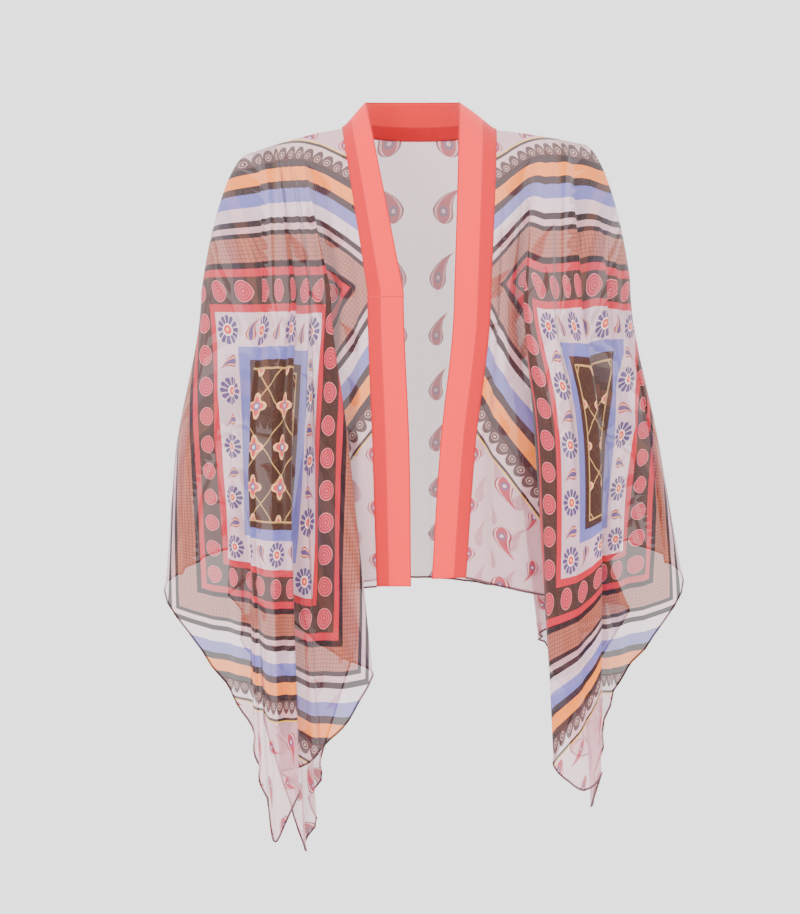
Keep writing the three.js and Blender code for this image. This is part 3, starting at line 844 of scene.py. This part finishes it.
def draw_ground(design):
    out, down = design.out, design.down
    slanted = (out + down * 0.3).repeated(SPECK_PITCH), (down - out * 0.3).repeated(SPECK_PITCH)
    speck = abs(slanted[0]).high(abs(slanted[1])) < 0.9
    design.paint((design.d > STRIPE["ground"][0]) * speck, (206, 140, 154), cover=0.5)
    inside = design.d > STRIPE["ground"][0] + 3.0
    for first_out, shift, lean, size in PAISLEYS:
        x = (out - first_out).repeated(PAISLEY_STEP[0]) * lean
        y = (down + shift).repeated(PAISLEY_STEP[1])
        ring, eye = paisley(x, y, size), oval(x, y, size * 0.42, size * 0.42)
        design.paint(inside * (ring < 1.0), (136, 48, 66))
        design.paint(inside * (ring < 0.82), (224, 170, 172))
        design.paint(inside * (ring < 0.62), (172, 52, 70))
        design.paint(inside * (eye < 1.0), (112, 78, 112))
        design.paint(inside * (eye < 0.45), (224, 170, 172))
        design.thicken(inside * (ring < 1.0), 0.32)


# %% [markdown]
# Chiffon is an open weave: part of the light goes straight through between the threads. Alpha
# below 1 does that, so two layers look denser than one, and three denser still. The threads scatter
# what is left, so the surface is rough and has hardly any gloss. A faint weave goes into the bump.

# %% Printed chiffon
THREAD_PITCH = 1.1  # mm


def new_material(name):
    material = bpy.data.materials.new(name)
    material.use_nodes = True
    tree = material.node_tree
    return material, tree, tree.nodes["Principled BSDF"]


def set_inputs(tree, shader, **values):
    for name, value in values.items():
        socket = shader.inputs[name.replace("_", " ")]
        if isinstance(value, Value):
            tree.links.new(value.socket, socket)
        else:
            socket.default_value = value


def woven(height, strength):
    """A faint relief of threads, as a normal for the shader."""
    bump = height.node("ShaderNodeBump", Strength=strength, Distance=0.0004, Height=height)
    return Value(height.tree, bump.outputs[0])


def chiffon(name, thicker=0.0, dark=0.0):
    """The printed cloth. A rolled edge has several layers, so it is thicker and darker."""
    material, tree, shader = new_material(name)
    design = Print(tree)
    for draw in (draw_ovals, draw_flowers, draw_hatching, draw_scallops, draw_middle, draw_ground):
        draw(design)
    colour = mixed(dark, design.colour, srgb(58, 32, 34)) if dark else design.colour
    thread = 2 * math.pi / THREAD_PITCH
    weave = (design.out * thread).sine() * (design.down * thread).sine()
    set_inputs(tree, shader, Base_Color=colour, Alpha=(design.density + thicker).low(0.98), Roughness=0.85,
               Specular_IOR_Level=0.12, Sheen_Weight=0.15, Normal=woven(weave, 0.05))
    print(name, "has", len(tree.nodes), "nodes")
    return material


printed_cloth.data.materials.append(chiffon("printed chiffon"))
rolled_hem.data.materials.append(chiffon("rolled edge", thicker=0.4, dark=0.85))

# %% [markdown]
# The band's cloth is the same chiffon dyed coral, in two layers, so hardly any light gets through.
# Its seam allowance makes the outer part darker, and a row of machine stitches holds it there.

# %% Coral chiffon
CROSS_JOIN = (0.351, 0.3525)  # metres along the strip, where two lengths of it are joined
STITCHES_PER_METRE = 400.0


def coral_chiffon():
    """across_it goes from 0 at the free edge to 1 at the seam, along counts the metres."""
    material, tree, shader = new_material("coral chiffon")
    across_it, along = flat_place(tree)
    colour = mixed(across_it > 0.64, srgb(238, 44, 48), srgb(200, 27, 36))
    lines = across_it.between(0.625, 0.65).high(along.between(*CROSS_JOIN))
    stitches = across_it.between(0.955, 0.975) * ((along * STITCHES_PER_METRE).fraction() > 0.3)
    for mask, ink in ((across_it < 0.03, (200, 27, 36)), (lines, (206, 42, 48)), (stitches, (190, 40, 46))):
        colour = mixed(mask, colour, srgb(*ink))
    set_inputs(tree, shader, Base_Color=colour, Alpha=0.99, Roughness=0.7, Specular_IOR_Level=0.15,
               Sheen_Weight=0.1, Normal=woven((along * 5200.0).sine(), 0.06))
    return material


coral_band.data.materials.append(coral_chiffon())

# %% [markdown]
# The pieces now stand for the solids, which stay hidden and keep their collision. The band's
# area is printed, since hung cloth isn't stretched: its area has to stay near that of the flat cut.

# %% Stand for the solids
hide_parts("front_right", "front_left", "back")
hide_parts("band_right", "band_left", "band_neck")
for piece in (printed_cloth, rolled_hem, coral_band):
    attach(piece, "root")


def area_of(piece):
    return sum(f.area for f in piece.data.polygons)


print("area of the band", round(area_of(coral_band), 4))

# %% [markdown]
# The stage is a plain pale floor and soft light from all sides, as in a studio with white walls.
# A large soft lamp from the upper left gives the folds their shading. The camera looks level at
# the middle of the garment, from far away with a long lens, as a catalogue photograph does.

# %% Stage, light and camera
FLOOR = -1.35
bpy.ops.mesh.primitive_circle_add(vertices=96, radius=1.45, fill_type="NGON", location=(0, 0, FLOOR))
floor = bpy.context.object
floor.name = "floor"
pale, tree, shader = new_material("pale floor")
set_inputs(tree, shader, Base_Color=srgb(236, 232, 232), Roughness=0.9)
floor.data.materials.append(pale)

world = bpy.data.worlds.new("studio")
bpy.context.scene.world = world
world.use_nodes = True
world.node_tree.nodes["Background"].inputs["Color"].default_value = srgb(250, 248, 248)
world.node_tree.nodes["Background"].inputs["Strength"].default_value = 2.5


def soft_lamp(name, place, target, size, power):
    """A square lamp turned so that it faces the target."""
    lamp = bpy.data.objects.new(name, bpy.data.lights.new(name, "AREA"))
    lamp.data.size, lamp.data.energy = size, power
    lamp.location = place
    lamp.rotation_euler = (Vector(target) - Vector(place)).to_track_quat("-Z", "Y").to_euler()
    bpy.context.scene.collection.objects.link(lamp)


soft_lamp("key lamp", (-1.6, -2.4, 1.2), (0, 0, -0.4), 1.2, 80)
soft_lamp("fill lamp", (2.0, -2.0, 0.2), (0, 0, -0.5), 1.6, 20)

camera = bpy.data.objects.new("camera", bpy.data.cameras.new("camera"))
bpy.context.scene.collection.objects.link(camera)
bpy.context.scene.camera = camera
camera.location = (-0.0225, -3.2, -0.40875)
camera.rotation_euler = (math.radians(90), 0, 0)
camera.data.lens = 100.9
camera.data.sensor_width = 36
camera.data.clip_start, camera.data.clip_end = 0.1, 30
floor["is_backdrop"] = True

# %% Sizes and the end
low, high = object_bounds()
grown = [max(a - b, d - c) * 1000 for a, b, c, d in zip(cad_low, low, cad_high, high)]
print("past the CAD box by", [round(g, 1) for g in grown], "mm")
